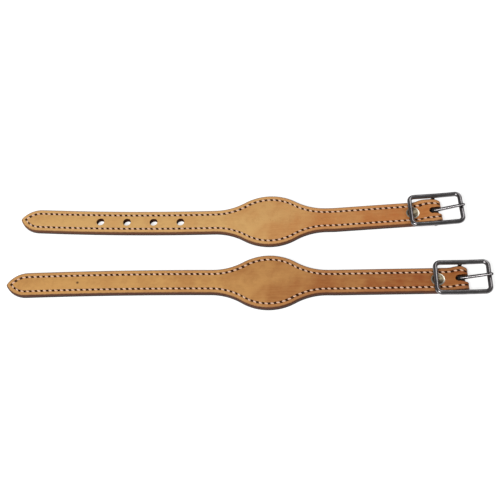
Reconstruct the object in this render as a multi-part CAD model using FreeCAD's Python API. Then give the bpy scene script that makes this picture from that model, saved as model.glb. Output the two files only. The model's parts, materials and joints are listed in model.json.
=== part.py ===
"""A pair of stitched leather spur straps, each with a wire buckle, lying flat side by side.

Millimetres, +Z up, +X along the straps towards the buckles, +Y towards the punched strap.
The origin is under the middle of the pair, on the surface that the straps lie on.
"""
import FreeCAD
import Part
import math
import os

from FreeCAD import Vector

X_AXIS = Vector(1, 0, 0)
Y_AXIS = Vector(0, 1, 0)
Z_AXIS = Vector(0, 0, 1)

# ---- leather strap ---------------------------------------------------------------------
STRAP_WIDTH = 16.8            # both ends of the strap
PLY_THICKNESS = 2.0           # top leather and lining alike
PAD_WIDTH = 37.8              # the widest place, over the instep
PAD_CROWN_RADIUS = 32.5       # the outward curve at the widest place
PAD_LENGTH = 74.0             # from neck to neck
POINT_LENGTH = 13.5           # the rounded English point
POINT_NOSE_RADIUS = 1.0
NECK_CLEARANCE_LENGTH = 5.0   # straight strap between the pad and its bend line

# ---- stitching -------------------------------------------------------------------------
STITCH_MARGIN = 3.2           # edge of the leather to the middle of the thread
THREAD_WIDTH = 1.2
THREAD_DEPTH = 0.6
THREAD_TO_FOLD = 1.5          # the thread stops this far short of the buckle bar

# ---- bend lines: where the leather flexes beside the pad -------------------------------
BEND_CLEARANCE = 0.35
THREAD_SETBACK = 1.2          # further gap between the bend and the ends of the thread

# ---- strap holes in the punched strap --------------------------------------------------
HOLE_DIAMETER = 5.2
HOLE_COUNT = 4
HOLE_SPACING = 18.2
FIRST_HOLE_FROM_TIP = 55.5

# ---- fold that carries the buckle ------------------------------------------------------
BAR_DIAMETER = 2.6
FOLD_CLEARANCE = 0.15         # above and below the bar, inside the fold
FOLD_PLY_THICKNESS = 1.6      # the leather is skived thinner where it folds
FOLD_SLACK = 1.8              # the fold stands this far off the end of the bar's circle
RAMP_LENGTH = 9.2             # the top leather rises to the fold over this length
TURN_BACK_LENGTH = 23.0       # the end of the leather that is turned under

# ---- rivet -----------------------------------------------------------------------------
RIVET_TO_BAR = 14.0
RIVET_CAP_DIAMETER = 8.6
RIVET_CAP_RIM = 0.25
RIVET_CAP_HEIGHT = 0.95
RIVET_SHANK_DIAMETER = 3.0
RIVET_SOCKET_DEPTH = 0.5
RIVET_BASE_DIAMETER = 7.6
RIVET_BASE_THICKNESS = 0.6

# ---- buckle ----------------------------------------------------------------------------
WIRE_DIAMETER = 3.0
FRAME_SIDE_CLEARANCE = 0.55   # leather to rail, each side
KEEPER_REACH = 15.5           # bar axis to the bar that lies over the strap
OUTER_REACH = 17.1            # bar axis to the bar that the tongue rests on
CORNER_RADIUS = 3.2
KEEPER_CLEARANCE = 0.5        # keeper bar above the rivet cap
KEEPER_BOW = 0.25             # keeper bar above the rails' lowest place
OUTER_BOW = 0.6               # outer bar above the rails' lowest place
LUG_LENGTH = 2.4              # the lugs under the rails that carry the centre bar
LUG_THICKNESS = 1.1
LUG_SIDE_CLEARANCE = 0.25     # leather to lug, each side
LUG_WALL = 0.4                # round the end of the bar
SPIGOT_DIAMETER = 1.6
SPIGOT_LENGTH = 0.8
TONGUE_ROOT_DIAMETER = 2.2
TONGUE_TIP_DIAMETER = 1.9
TONGUE_EYE_CLEARANCE = 0.1    # running fit on the bar
TONGUE_EYE_WALL = 1.5
TONGUE_ROOT_OFFSET = 2.3      # bar axis to the middle of the tongue where it leaves the eye
TONGUE_REST_GAP = 0.15        # above the outer bar
TONGUE_OVERHANG = 2.0         # past the middle of the outer bar
SLOT_SIDE_CLEARANCE = 0.9     # each side of the tongue, in the slot of the fold
SLOT_END_CLEARANCE = 0.4      # behind the eye of the tongue

# ---- the two straps: what differs ------------------------------------------------------
STRAP_SPACING = 45.7          # between the middles of the two pads
STRAPS = (
    {"side": "left", "place": 0.5, "tail_length": 170.1, "bar_distance": 107.7,
     "holes": HOLE_COUNT, "pad_turn": 0.3, "buckle_turn": 3.1, "tail_bow_radius": 1680.0},
    {"side": "right", "place": -0.5, "tail_length": 171.9, "bar_distance": 120.0,
     "holes": 0, "pad_turn": -0.8, "buckle_turn": 1.1, "tail_bow_radius": -3000.0},
)

# ---- worked out from the sizes above ---------------------------------------------------
STRAP_THICKNESS = 2 * PLY_THICKNESS
HALF_WIDTH = STRAP_WIDTH / 2
BEND_DISTANCE = PAD_LENGTH / 2 + NECK_CLEARANCE_LENGTH
KNUCKLE_RADIUS = PLY_THICKNESS
CUP_RADIUS = KNUCKLE_RADIUS + BEND_CLEARANCE
THREAD_START = CUP_RADIUS + THREAD_SETBACK
BAR_RADIUS = BAR_DIAMETER / 2
FOLD_INNER_RADIUS = BAR_RADIUS + FOLD_CLEARANCE
FOLD_OUTER_RADIUS = FOLD_INNER_RADIUS + FOLD_PLY_THICKNESS
BAR_HEIGHT = FOLD_OUTER_RADIUS
WIRE_RADIUS = WIRE_DIAMETER / 2
RAIL_OFFSET = HALF_WIDTH + FRAME_SIDE_CLEARANCE + WIRE_RADIUS
KEEPER_RISE = (STRAP_THICKNESS + RIVET_CAP_HEIGHT + KEEPER_CLEARANCE + WIRE_RADIUS
               - BAR_HEIGHT)
RAIL_LIFT = KEEPER_RISE - KEEPER_BOW
OUTER_RISE = RAIL_LIFT + OUTER_BOW
TONGUE_EYE_RADIUS = BAR_RADIUS + TONGUE_EYE_CLEARANCE + TONGUE_EYE_WALL
LUG_INNER_FACE = HALF_WIDTH + LUG_SIDE_CLEARANCE
SLOT_WIDTH = TONGUE_ROOT_DIAMETER + 2 * SLOT_SIDE_CLEARANCE
SLOT_BEHIND_BAR = TONGUE_EYE_RADIUS + SLOT_END_CLEARANCE
MARGIN_PAST_EVERYTHING = 60.0


# ---- helpers ---------------------------------------------------------------------------
def arc(centre, radius, start, end):
    """Arc in the XY plane about a centre, from one angle to another, in degrees."""
    def at(degrees):
        turn = math.radians(degrees)
        return Vector(centre[0] + radius * math.cos(turn),
                      centre[1] + radius * math.sin(turn), 0)
    return Part.Arc(at(start), at((start + end) / 2), at(end)).toShape()


def line(a, b):
    return Part.LineSegment(Vector(*a), Vector(*b)).toShape()


def mirrored_outline(upper_edges):
    """Closed face from the edges above the X axis and their mirror image below it."""
    upper = Part.Wire(Part.__sortEdges__(upper_edges))
    lower = upper.mirror(Vector(0, 0, 0), Y_AXIS)
    edges = list(upper.Edges) + list(lower.Edges)
    ends = sorted((v.Point for v in upper.Vertexes), key=lambda p: p.x)
    for end in (ends[0], ends[-1]):
        if abs(end.y) > 1e-6:
            edges.append(line((end.x, end.y, 0), (end.x, -end.y, 0)))
    return Part.Face(Part.Wire(Part.__sortEdges__(edges)))


def slab(face, bottom, top):
    """Prism of a plan face between two heights."""
    low = face.copy()
    low.translate(Vector(0, 0, bottom))
    return low.extrude(Vector(0, 0, top - bottom))


def block(x_range, half_y, z_range):
    return Part.makeBox(x_range[1] - x_range[0], 2 * half_y, z_range[1] - z_range[0],
                        Vector(x_range[0], -half_y, z_range[0]))


def rod_y(radius, half_length, x=0.0, z=0.0):
    return Part.makeCylinder(radius, 2 * half_length, Vector(x, -half_length, z), Y_AXIS)


def stitch_ring(outline):
    """Plan band that the thread covers, all round inside an outline."""
    outer = outline(STITCH_MARGIN - THREAD_WIDTH / 2)
    inner = outline(STITCH_MARGIN + THREAD_WIDTH / 2)
    return outer.cut(inner)


# ---- leather plies ---------------------------------------------------------------------
LAYERS = {
    "top": {"ply": (PLY_THICKNESS, STRAP_THICKNESS),
            "thread": (STRAP_THICKNESS - THREAD_DEPTH, STRAP_THICKNESS)},
    "bottom": {"ply": (0.0, PLY_THICKNESS), "thread": (0.0, THREAD_DEPTH)},
}


def pad_outline(inset=0.0):
    """Ogee-sided pad with plain strap past each bend line; inset shrinks it all round."""
    flare = PAD_WIDTH / 2 - HALF_WIDTH
    half = PAD_LENGTH / 2
    both_radii = (half ** 2 + flare ** 2) / (2 * flare)
    crown, hollow = PAD_CROWN_RADIUS, both_radii - PAD_CROWN_RADIUS
    sweep = math.degrees(math.asin(half / both_radii))
    reach = BEND_DISTANCE + MARGIN_PAST_EVERYTHING
    edge_y = HALF_WIDTH - inset
    edges = [
        line((-reach, edge_y, 0), (-half, edge_y, 0)),
        arc((-half, HALF_WIDTH + hollow), hollow + inset, -90, -90 + sweep),
        arc((0, PAD_WIDTH / 2 - crown), crown - inset, 90 + sweep, 90 - sweep),
        arc((half, HALF_WIDTH + hollow), hollow + inset, -90 - sweep, -90),
        line((half, edge_y, 0), (reach, edge_y, 0)),
    ]
    return mirrored_outline(edges)


def tail_outline(tail_length, bow_radius, inset=0.0):
    """Bowed tail with its point, from the bend line out along +X; inset shrinks it."""
    length = tail_length - BEND_DISTANCE - POINT_LENGTH
    side = math.copysign(1, bow_radius)
    turn = math.degrees(length / abs(bow_radius))
    centre = (0, bow_radius)
    point_radius = (POINT_LENGTH ** 2 + HALF_WIDTH ** 2) / STRAP_WIDTH
    nose_radius = point_radius - inset
    sweep = math.degrees(math.acos((point_radius - HALF_WIDTH) / nose_radius))
    tip = [arc((0, HALF_WIDTH - point_radius), nose_radius, 90, 90 - sweep),
           arc((0, point_radius - HALF_WIDTH), nose_radius, -90, -90 + sweep)]
    for edge in tip:
        edge.translate(Vector(0, -bow_radius, 0))
        edge.rotate(Vector(0, 0, 0), Z_AXIS, side * turn)
        edge.translate(Vector(0, bow_radius, 0))
    back = -MARGIN_PAST_EVERYTHING
    edge_y = HALF_WIDTH - inset
    edges = list(tip)
    for offset in (edge_y, -edge_y):
        edges.append(arc(centre, abs(bow_radius - offset), -90 * side, (turn - 90) * side))
        edges.append(line((back, offset, 0), (0, offset, 0)))
    edges.append(line((back, edge_y, 0), (back, -edge_y, 0)))
    return Part.Face(Part.Wire(Part.__sortEdges__(edges)))


def round_nose(solid):
    """Takes the sharp corner off the point: the upright edge furthest along X."""
    upright = [e for e in solid.Edges if abs(e.tangentAt(e.FirstParameter).z) > 0.99]
    nose = max(upright, key=lambda e: e.CenterOfMass.x)
    return solid.makeFillet(POINT_NOSE_RADIUS, [nose])


def knuckles():
    """Round ends of the pad at its two bend lines."""
    rods = [rod_y(KNUCKLE_RADIUS, HALF_WIDTH, x, PLY_THICKNESS)
            for x in (-BEND_DISTANCE, BEND_DISTANCE)]
    return rods[0].fuse(rods[1])


def cup(x):
    """Space cleared for a knuckle, with everything on the pad's side of it."""
    past = MARGIN_PAST_EVERYTHING + 10
    hollow = rod_y(CUP_RADIUS, past, x, PLY_THICKNESS)
    behind = (x - past, x) if x > 0 else (x, x + past)
    return hollow.fuse(block(behind, past, (-past, past)))


def pad_pieces():
    outline = pad_outline()
    ring = stitch_ring(pad_outline)
    straight = block((-BEND_DISTANCE, BEND_DISTANCE), PAD_WIDTH, (0, STRAP_THICKNESS))
    extent = straight.fuse(knuckles())
    sewn = BEND_DISTANCE - THREAD_SETBACK
    thread_extent = block((-sewn, sewn), PAD_WIDTH, (0, STRAP_THICKNESS))
    pieces = {}
    for layer, heights in LAYERS.items():
        thread = slab(ring, *heights["thread"]).common(thread_extent)
        pieces[layer + "_thread_pad"] = thread
        pieces[layer + "_leather_pad"] = slab(outline, *heights["ply"]).common(extent).cut(thread)
    return pieces


def strap_holes(count, tail_length, bow_radius):
    """Punches through both plies, measured back from the point along the bowed middle."""
    punches = []
    for index in range(count):
        along = tail_length - BEND_DISTANCE - FIRST_HOLE_FROM_TIP - index * HOLE_SPACING
        angle = along / bow_radius
        centre = Vector(bow_radius * math.sin(angle), bow_radius * (1 - math.cos(angle)), -1)
        punches.append(Part.makeCylinder(HOLE_DIAMETER / 2, STRAP_THICKNESS + 2, centre))
    return punches


def tail_pieces(strap):
    tail_length = strap["tail_length"]
    bow_radius = -strap["tail_bow_radius"]
    outline = tail_outline(tail_length, bow_radius)
    ring = stitch_ring(lambda inset: tail_outline(tail_length, bow_radius, inset))
    sewn = block((THREAD_START, tail_length), PAD_WIDTH, (0, STRAP_THICKNESS))
    punches = strap_holes(strap["holes"], tail_length, bow_radius)
    pieces = {}
    for layer, heights in LAYERS.items():
        thread = slab(ring, *heights["thread"]).common(sewn)
        ply = round_nose(slab(outline, *heights["ply"])).cut([thread] + punches)
        pieces[layer + "_thread_tail"] = thread
        pieces[layer + "_leather_tail"] = ply
    return pieces


# ---- buckle end of the leather ---------------------------------------------------------
def ramp(bar_x, low, high):
    """Side view of one face of the leather as two tangent arcs that rise to the bar."""
    half_turn = 2 * math.atan((high - low) / RAMP_LENGTH)
    radius = RAMP_LENGTH / 2 / math.sin(half_turn)
    turn = math.degrees(half_turn)
    start = bar_x - RAMP_LENGTH
    return [line((-MARGIN_PAST_EVERYTHING, low, 0), (start, low, 0)),
            arc((start, low + radius), radius, -90, -90 + turn),
            arc((bar_x, high - radius), radius, 90 + turn, 90)]


def side_face(lower, upper):
    """Closed side view between two runs of edges that start and end together."""
    wires = [Part.Wire(edges) for edges in (lower, upper)]
    ends = [(w.OrderedVertexes[0].Point, w.OrderedVertexes[-1].Point) for w in wires]
    closing = [line(ends[0][i], ends[1][i]) for i in (0, 1)]
    return Part.Face(Part.Wire(Part.__sortEdges__(wires[0].Edges + wires[1].Edges + closing)))


def fold_side_view(bar_x):
    """Top leather in side view (X, height): level, up the ramp and half round the bar.

    The turn-back is the lower layer, from the fold to the end of the leather.
    """
    fold_x = bar_x + FOLD_SLACK
    runs = []
    for low, radius in ((PLY_THICKNESS, FOLD_INNER_RADIUS), (STRAP_THICKNESS, FOLD_OUTER_RADIUS)):
        top = BAR_HEIGHT + radius
        runs.append(ramp(bar_x, low, top)
                    + [line((bar_x, top, 0), (fold_x, top, 0)),
                       arc((fold_x, BAR_HEIGHT), radius, 90, -90)])
    turn_back = Part.makePolygon([
        Vector(bar_x - TURN_BACK_LENGTH, 0, 0),
        Vector(fold_x, 0, 0),
        Vector(fold_x, FOLD_PLY_THICKNESS, 0),
        Vector(bar_x, FOLD_PLY_THICKNESS, 0),
        Vector(bar_x - RAMP_LENGTH, PLY_THICKNESS, 0),
        Vector(bar_x - TURN_BACK_LENGTH, PLY_THICKNESS, 0),
        Vector(bar_x - TURN_BACK_LENGTH, 0, 0)])
    return [side_face(*runs), Part.Face(turn_back)]


def thread_side_view(bar_x):
    """The thread in side view, sunk in the top face of the leather up to the bar."""
    crest = BAR_HEIGHT + FOLD_OUTER_RADIUS
    return side_face(ramp(bar_x, STRAP_THICKNESS - THREAD_DEPTH, crest - THREAD_DEPTH),
                     ramp(bar_x, STRAP_THICKNESS, crest))


def side_view_prism(face, y_low, y_high):
    """Turns a side-view face (X, height) upright and extrudes it across the strap."""
    upright = face.copy()
    upright.rotate(Vector(0, 0, 0), X_AXIS, 90)
    upright.translate(Vector(0, y_high, 0))
    return upright.extrude(Vector(0, y_low - y_high, 0))


def tongue_slot(bar_x):
    """Rounded slot through the fold, above and below the bar."""
    half = SLOT_WIDTH / 2
    height = (-1, 2 * FOLD_OUTER_RADIUS + 1)
    end_centre = bar_x - SLOT_BEHIND_BAR + half
    past_fold = bar_x + FOLD_SLACK + FOLD_OUTER_RADIUS + 1
    straight = block((end_centre, past_fold), half, height)
    rounded = Part.makeCylinder(half, height[1] - height[0], Vector(end_centre, 0, height[0]))
    return straight.fuse(rounded)


def rivet(bar_x):
    """Domed cap on the grain side, and the post with its flush base."""
    x = bar_x - RIVET_TO_BAR
    shank = RIVET_SHANK_DIAMETER / 2
    dome_rise = RIVET_CAP_HEIGHT - RIVET_CAP_RIM
    cap_radius = RIVET_CAP_DIAMETER / 2
    dome_radius = (cap_radius ** 2 + dome_rise ** 2) / (2 * dome_rise)
    rim_top = STRAP_THICKNESS + RIVET_CAP_RIM
    ball = Part.makeSphere(dome_radius, Vector(x, 0, rim_top + dome_rise - dome_radius))
    column = Part.makeCylinder(cap_radius, RIVET_CAP_HEIGHT, Vector(x, 0, STRAP_THICKNESS))
    cap = column.common(ball)
    post_top = STRAP_THICKNESS + RIVET_SOCKET_DEPTH
    post = Part.makeCylinder(shank, post_top, Vector(x, 0, 0))
    base = Part.makeCylinder(RIVET_BASE_DIAMETER / 2, RIVET_BASE_THICKNESS, Vector(x, 0, 0))
    post = post.fuse(base).removeSplitter()
    return {"rivet_cap": cap.cut(post), "rivet_post": post}


def buckle_end_pieces(strap):
    """Everything from the second bend line to the fold, on X from that bend line."""
    bar_x = strap["bar_distance"] - BEND_DISTANCE
    seam = HALF_WIDTH - STITCH_MARGIN
    rows = [(side * seam - THREAD_WIDTH / 2, side * seam + THREAD_WIDTH / 2)
            for side in (-1, 1)]
    sewn = block((THREAD_START, bar_x - THREAD_TO_FOLD), HALF_WIDTH, (0, 3 * BAR_HEIGHT))
    thread_view = thread_side_view(bar_x)
    threads = {
        "top": [side_view_prism(thread_view, *row).common(sewn) for row in rows],
        "bottom": [block((THREAD_START, bar_x - SLOT_BEHIND_BAR), THREAD_WIDTH / 2,
                         (0, THREAD_DEPTH)) for row in rows],
    }
    for solid, row in zip(threads["bottom"], rows):
        solid.translate(Vector(0, sum(row) / 2, 0))
    rivet_pieces = rivet(bar_x)
    top, turn_back = [side_view_prism(view, -HALF_WIDTH, HALF_WIDTH)
                      for view in fold_side_view(bar_x)]
    top = top.fuse(turn_back).cut(threads["top"] + threads["bottom"]
                                  + [tongue_slot(bar_x), rivet_pieces["rivet_post"]])
    lining = block((-MARGIN_PAST_EVERYTHING, bar_x - TURN_BACK_LENGTH), HALF_WIDTH,
                   (0, PLY_THICKNESS)).cut(threads["bottom"])
    pieces = {
        "top_leather_buckle_end": top,
        "bottom_leather_buckle_end": lining,
        "top_thread_buckle_end": Part.makeCompound(threads["top"]),
        "bottom_thread_buckle_end": Part.makeCompound(threads["bottom"]),
    }
    pieces.update(rivet_pieces)
    return pieces


# ---- buckle, on the bar axis -----------------------------------------------------------
def wing(reach, bow, direction):
    """Half of one rail, from above the bar out to the middle of an end bar.

    The rail curves upwards at a radius that puts the end bar at its reach and bow.
    """
    radius = (reach ** 2 + bow ** 2 - CORNER_RADIUS ** 2) / (2 * bow)
    sweep = math.atan2(reach, radius - bow) - math.atan2(CORNER_RADIUS, radius)

    def rail_point(angle):
        return Vector(direction * radius * math.sin(angle), RAIL_OFFSET,
                      RAIL_LIFT + radius * (1 - math.cos(angle)))

    along = Vector(direction * math.cos(sweep), 0, math.sin(sweep))
    inwards = Vector(0, -CORNER_RADIUS, 0)
    rail_end = rail_point(sweep)
    diagonal = math.sqrt(0.5)
    corner_middle = (rail_end + inwards * (1 - diagonal)
                     + along * (CORNER_RADIUS * diagonal))
    corner_end = rail_end + inwards + along * CORNER_RADIUS
    bar_middle = Vector(corner_end.x, 0, corner_end.z)
    return [Part.Arc(rail_point(0), rail_point(sweep / 2), rail_end).toShape(),
            Part.Arc(rail_end, corner_middle, corner_end).toShape(),
            Part.LineSegment(corner_end, bar_middle).toShape()]


def buckle_bar():
    """Centre bar between the lugs, with a thinner spigot at each end."""
    half = LUG_INNER_FACE
    return rod_y(BAR_RADIUS, half).fuse(rod_y(SPIGOT_DIAMETER / 2, half + SPIGOT_LENGTH))


def lug():
    """Ear that hangs from a rail and holds one end of the bar."""
    hang = Part.makeBox(LUG_LENGTH, LUG_THICKNESS, RAIL_LIFT,
                        Vector(-LUG_LENGTH / 2, LUG_INNER_FACE, 0))
    foot = Part.makeCylinder(SPIGOT_DIAMETER / 2 + LUG_WALL, LUG_THICKNESS,
                             Vector(0, LUG_INNER_FACE, 0), Y_AXIS)
    return hang.fuse(foot)


def buckle_frame():
    """One closed loop of round wire with a lug under each rail, socketed for the bar."""
    keeper_side = wing(KEEPER_REACH, KEEPER_BOW, -1)
    outer_side = wing(OUTER_REACH, OUTER_BOW, 1)
    path = Part.Wire(Part.__sortEdges__(keeper_side + outer_side))
    start = path.OrderedVertexes[0].Point
    section = Part.Wire(Part.makeCircle(WIRE_RADIUS, start, Y_AXIS))
    half = path.makePipeShell([section], True, True).fuse(lug())
    other_half = half.mirror(Vector(0, 0, 0), Y_AXIS)
    return half.fuse(other_half).removeSplitter().cut(buckle_bar())


def tongue():
    """Eye on the bar and a tapered shank resting over the outer bar."""
    root = TONGUE_ROOT_DIAMETER / 2
    tip = TONGUE_TIP_DIAMETER / 2
    shank_start = Vector(0, 0, TONGUE_ROOT_OFFSET)
    over_bar = Vector(OUTER_REACH, 0, OUTER_RISE + WIRE_RADIUS + TONGUE_REST_GAP + root)
    run = (over_bar - shank_start).normalize()
    length = (over_bar - shank_start).Length + TONGUE_OVERHANG - tip
    shank = Part.makeCone(root, tip, length, shank_start, run)
    nose = Part.makeSphere(tip, shank_start + run * length)
    heel = Part.makeSphere(root, shank_start)
    eye = rod_y(TONGUE_EYE_RADIUS, root)
    bore = rod_y(BAR_RADIUS + TONGUE_EYE_CLEARANCE, STRAP_WIDTH)
    return eye.fuse([shank, nose, heel]).removeSplitter().cut(bore)


# ---- assembly --------------------------------------------------------------------------
def in_pad_frame(pieces, turn, distance):
    """Moves pieces made from a bend line onto the pad they hang from."""
    for shape in pieces.values():
        shape.rotate(Vector(0, 0, 0), Z_AXIS, turn)
        shape.translate(Vector(distance, 0, 0))


def strap_pieces(strap):
    """All nodes of one strap, with the middle of its pad on the origin."""
    tail = tail_pieces(strap)
    in_pad_frame(tail, 180, -BEND_DISTANCE)
    end = buckle_end_pieces(strap)
    bar_x = strap["bar_distance"] - BEND_DISTANCE
    buckle = {"buckle_frame": buckle_frame(), "buckle_bar": buckle_bar(),
              "buckle_tongue": tongue()}
    for shape in buckle.values():
        shape.translate(Vector(bar_x, 0, BAR_HEIGHT))
    for group in (end, buckle):
        in_pad_frame(group, strap["buckle_turn"], BEND_DISTANCE)
    for group, x in ((tail, -BEND_DISTANCE), (end, BEND_DISTANCE)):
        for name in group:
            if "leather" in name:
                group[name] = group[name].cut(cup(x))
    pieces = {}
    for group in (pad_pieces(), tail, end, buckle):
        pieces.update(group)
    return pieces


def build():
    nodes = {}
    for strap in STRAPS:
        for name, shape in strap_pieces(strap).items():
            shape.rotate(Vector(0, 0, 0), Z_AXIS, strap["pad_turn"])
            shape.translate(Vector(0, strap["place"] * STRAP_SPACING, 0))
            nodes[strap["side"] + "_" + name] = shape
    whole = Part.makeCompound(list(nodes.values())).BoundBox
    to_origin = Vector(-whole.Center.x, -whole.Center.y, 0)
    for shape in nodes.values():
        shape.translate(to_origin)
    return nodes, to_origin


def main():
    os.makedirs("parts", exist_ok=True)
    nodes, to_origin = build()
    for name, shape in nodes.items():
        shape.exportStep(os.path.join("parts", name + ".step"))
        print("%-34s solids %d valid %s volume %.1f" % (
            name, len(shape.Solids), shape.isValid(), shape.Volume))
    print("moved to the origin by", to_origin)


main()
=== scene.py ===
# %% [markdown]
# # A pair of spur straps
# Two long straps of tan leather lie side by side. Each has a wide pad in the middle, a
# pointed tail on one side and a wire buckle on the other. Saddlers cut two layers of
# leather, glue them back to back and sew all round the edge, so the lesson follows the
# same order: cut the shape flat, give it thickness, round the edges, prick the holes for
# the thread, then bend and lay the finished leather where it belongs.

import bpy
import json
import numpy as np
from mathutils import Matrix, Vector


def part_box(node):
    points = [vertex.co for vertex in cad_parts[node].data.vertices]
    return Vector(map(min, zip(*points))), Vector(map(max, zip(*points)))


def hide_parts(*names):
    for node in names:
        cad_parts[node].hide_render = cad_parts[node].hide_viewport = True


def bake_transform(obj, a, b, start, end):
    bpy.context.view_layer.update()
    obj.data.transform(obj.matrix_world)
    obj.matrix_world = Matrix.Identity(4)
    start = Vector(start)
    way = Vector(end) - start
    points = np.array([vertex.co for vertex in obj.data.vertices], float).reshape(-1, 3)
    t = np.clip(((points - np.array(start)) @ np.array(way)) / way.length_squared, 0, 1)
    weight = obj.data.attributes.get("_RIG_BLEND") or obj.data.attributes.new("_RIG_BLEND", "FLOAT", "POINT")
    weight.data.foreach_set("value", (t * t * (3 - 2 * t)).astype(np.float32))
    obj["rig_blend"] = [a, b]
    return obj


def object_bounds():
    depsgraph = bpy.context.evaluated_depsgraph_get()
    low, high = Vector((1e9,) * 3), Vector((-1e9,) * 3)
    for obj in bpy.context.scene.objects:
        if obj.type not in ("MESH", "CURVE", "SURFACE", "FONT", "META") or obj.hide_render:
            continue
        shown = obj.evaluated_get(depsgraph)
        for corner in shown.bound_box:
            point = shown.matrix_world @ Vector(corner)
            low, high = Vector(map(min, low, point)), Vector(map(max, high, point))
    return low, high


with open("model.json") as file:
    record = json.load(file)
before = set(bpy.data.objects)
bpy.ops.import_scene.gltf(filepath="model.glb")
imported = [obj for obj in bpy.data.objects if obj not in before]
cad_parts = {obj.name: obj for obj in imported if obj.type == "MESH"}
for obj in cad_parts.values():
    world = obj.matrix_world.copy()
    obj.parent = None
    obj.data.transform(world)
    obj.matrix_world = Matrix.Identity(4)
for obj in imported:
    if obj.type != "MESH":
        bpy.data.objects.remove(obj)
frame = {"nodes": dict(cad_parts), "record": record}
cad_box = [list(corner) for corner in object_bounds()]

import json
import math

import bmesh
import bpy
from mathutils import Matrix, Vector

MM = 0.001
joints = {joint["name"]: joint for joint in frame["record"]["behaviour"]["joints"]}

# %% [markdown]
# ## Where each strap lies
# The bend lines beside the pad and the buckle's bar are already fixed as joints of the
# frame. Reading their places from the frame is safer than typing them again, because the
# leather then always meets the buckle. Only what no joint says is given here: how long
# each tail is, how it bows sideways, which strap has been punched, and how far before the
# bar the top leather has risen to its full height, in the middle and more at the edges.

# %% The two straps
STRAPS = {
    "left": {"tail_length": 170.1, "tail_bow_radius": 1680.0, "hole_count": 4,
             "pin_mark": None, "level": 2.6, "edge_level": 3.5, "spread": 0.4},
    "right": {"tail_length": 171.9, "tail_bow_radius": -3000.0, "hole_count": 0,
              "pin_mark": -124.4, "level": 0.6, "edge_level": 0.0, "spread": 0.0},
}


def plan_angle(axis):
    """How far a hinge axis that lies across the strap is turned in plan, in radians."""
    return math.atan2(-axis[0] * math.copysign(1, axis[1]), abs(axis[1]))


for side, strap in STRAPS.items():
    tail, end, bar = [joints[side + name] for name in
                      ("_tail_bend", "_buckle_end_bend", "_frame_swing")]
    strap["tail_hinge"], strap["end_hinge"] = Vector(tail["pos_m"]), Vector(end["pos_m"])
    strap["middle"] = (strap["tail_hinge"] + strap["end_hinge"]) / 2
    strap["pad_turn"] = plan_angle(tail["axis"])
    strap["buckle_turn"] = plan_angle(bar["axis"]) - strap["pad_turn"]
    strap["bend"] = (strap["end_hinge"] - strap["middle"]).length / MM
    strap["bar"] = strap["bend"] + (Vector(bar["pos_m"]).xy - strap["end_hinge"].xy).length / MM
    print(side, "bend %.2f bar %.2f pad turned %.2f buckle turned %.2f" % (
        strap["bend"], strap["bar"], math.degrees(strap["pad_turn"]),
        math.degrees(strap["buckle_turn"])))

# %% [markdown]
# ## The pattern the leather is cut to
# Seen from above, the edge is a chain of arcs and straight lines: two arcs meet at the
# English point, then the edge runs straight, swells in an ogee round the pad and runs
# straight again. The seam is the same chain a little further in. A position is given by
# the length of seam from the point, because stitches are spaced along the seam and the
# columns of the mesh can then fall exactly on the stitches.

# %% Sizes in millimetres
HALF_WIDTH = 8.4
PLY = 2.0
FOLD_PLY = 1.6
PAD_HALF_WIDTH = 18.9
CROWN_RADIUS = 32.5
PAD_HALF_LENGTH = 37.0
POINT_LENGTH = 13.5
SEAM = 3.2
STITCH = 3.74
AWL_LENGTH = 1.9
AWL_WIDTH = 1.5
HOLE_RADIUS = 2.6
HOLE_SPACING = 18.2
FIRST_HOLE = 55.5

FLARE = PAD_HALF_WIDTH - HALF_WIDTH
BOTH_RADII = (PAD_HALF_LENGTH ** 2 + FLARE ** 2) / (2 * FLARE)
HOLLOW_RADIUS = BOTH_RADII - CROWN_RADIUS
OGEE_SWEEP = math.asin(PAD_HALF_LENGTH / BOTH_RADII)
POINT_RADIUS = (POINT_LENGTH ** 2 + HALF_WIDTH ** 2) / (2 * HALF_WIDTH)
POINT_CENTRE = POINT_RADIUS - HALF_WIDTH
POINT_SWEEP = math.acos(POINT_CENTRE / (POINT_RADIUS - SEAM))


# %% The edge and the seam as one chain
def arc_run(centre, radius, start, stop, hollow):
    """One arc of the edge. Angles are from the +Y direction; hollow arcs bend outwards."""
    seam_radius = radius + SEAM if hollow else radius - SEAM
    flip = -1 if hollow else 1

    def at(share):
        angle = start + (stop - start) * share
        across = Vector((math.sin(angle), flip * math.cos(angle)))
        return Vector(centre) + across * radius, across * flip
    return abs(stop - start) * seam_radius, at


def straight_run(start, stop):
    def at(share):
        return Vector((start + (stop - start) * share, HALF_WIDTH)), Vector((0, 1))
    return stop - start, at


def edge_chain(strap, end):
    """Runs of the upper edge from the point to x = end, each as (seam length, function)."""
    tip = -strap["tail_length"]
    top, neck = PAD_HALF_WIDTH - CROWN_RADIUS, HALF_WIDTH + HOLLOW_RADIUS
    return [
        arc_run((tip + POINT_LENGTH, -POINT_CENTRE), POINT_RADIUS, -POINT_SWEEP, 0, False),
        straight_run(tip + POINT_LENGTH, -PAD_HALF_LENGTH),
        arc_run((-PAD_HALF_LENGTH, neck), HOLLOW_RADIUS, 0, OGEE_SWEEP, True),
        arc_run((0, top), CROWN_RADIUS, -OGEE_SWEEP, OGEE_SWEEP, False),
        arc_run((PAD_HALF_LENGTH, neck), HOLLOW_RADIUS, -OGEE_SWEEP, 0, True),
        straight_run(PAD_HALF_LENGTH, end),
    ]


def edge_at(chain, seam):
    """Point on the edge and its outward direction, at a length along the seam."""
    for length, at in chain:
        if seam <= length or at is chain[-1][1]:
            return at(seam / length)
        seam -= length


def seam_at_x(chain, x):
    """Length of seam from the point to a place on one of the two straight runs."""
    if x < 0:
        return chain[0][0] + x - chain[1][1](0)[0].x
    return sum(length for length, _ in chain[:5]) + x - PAD_HALF_LENGTH


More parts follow.
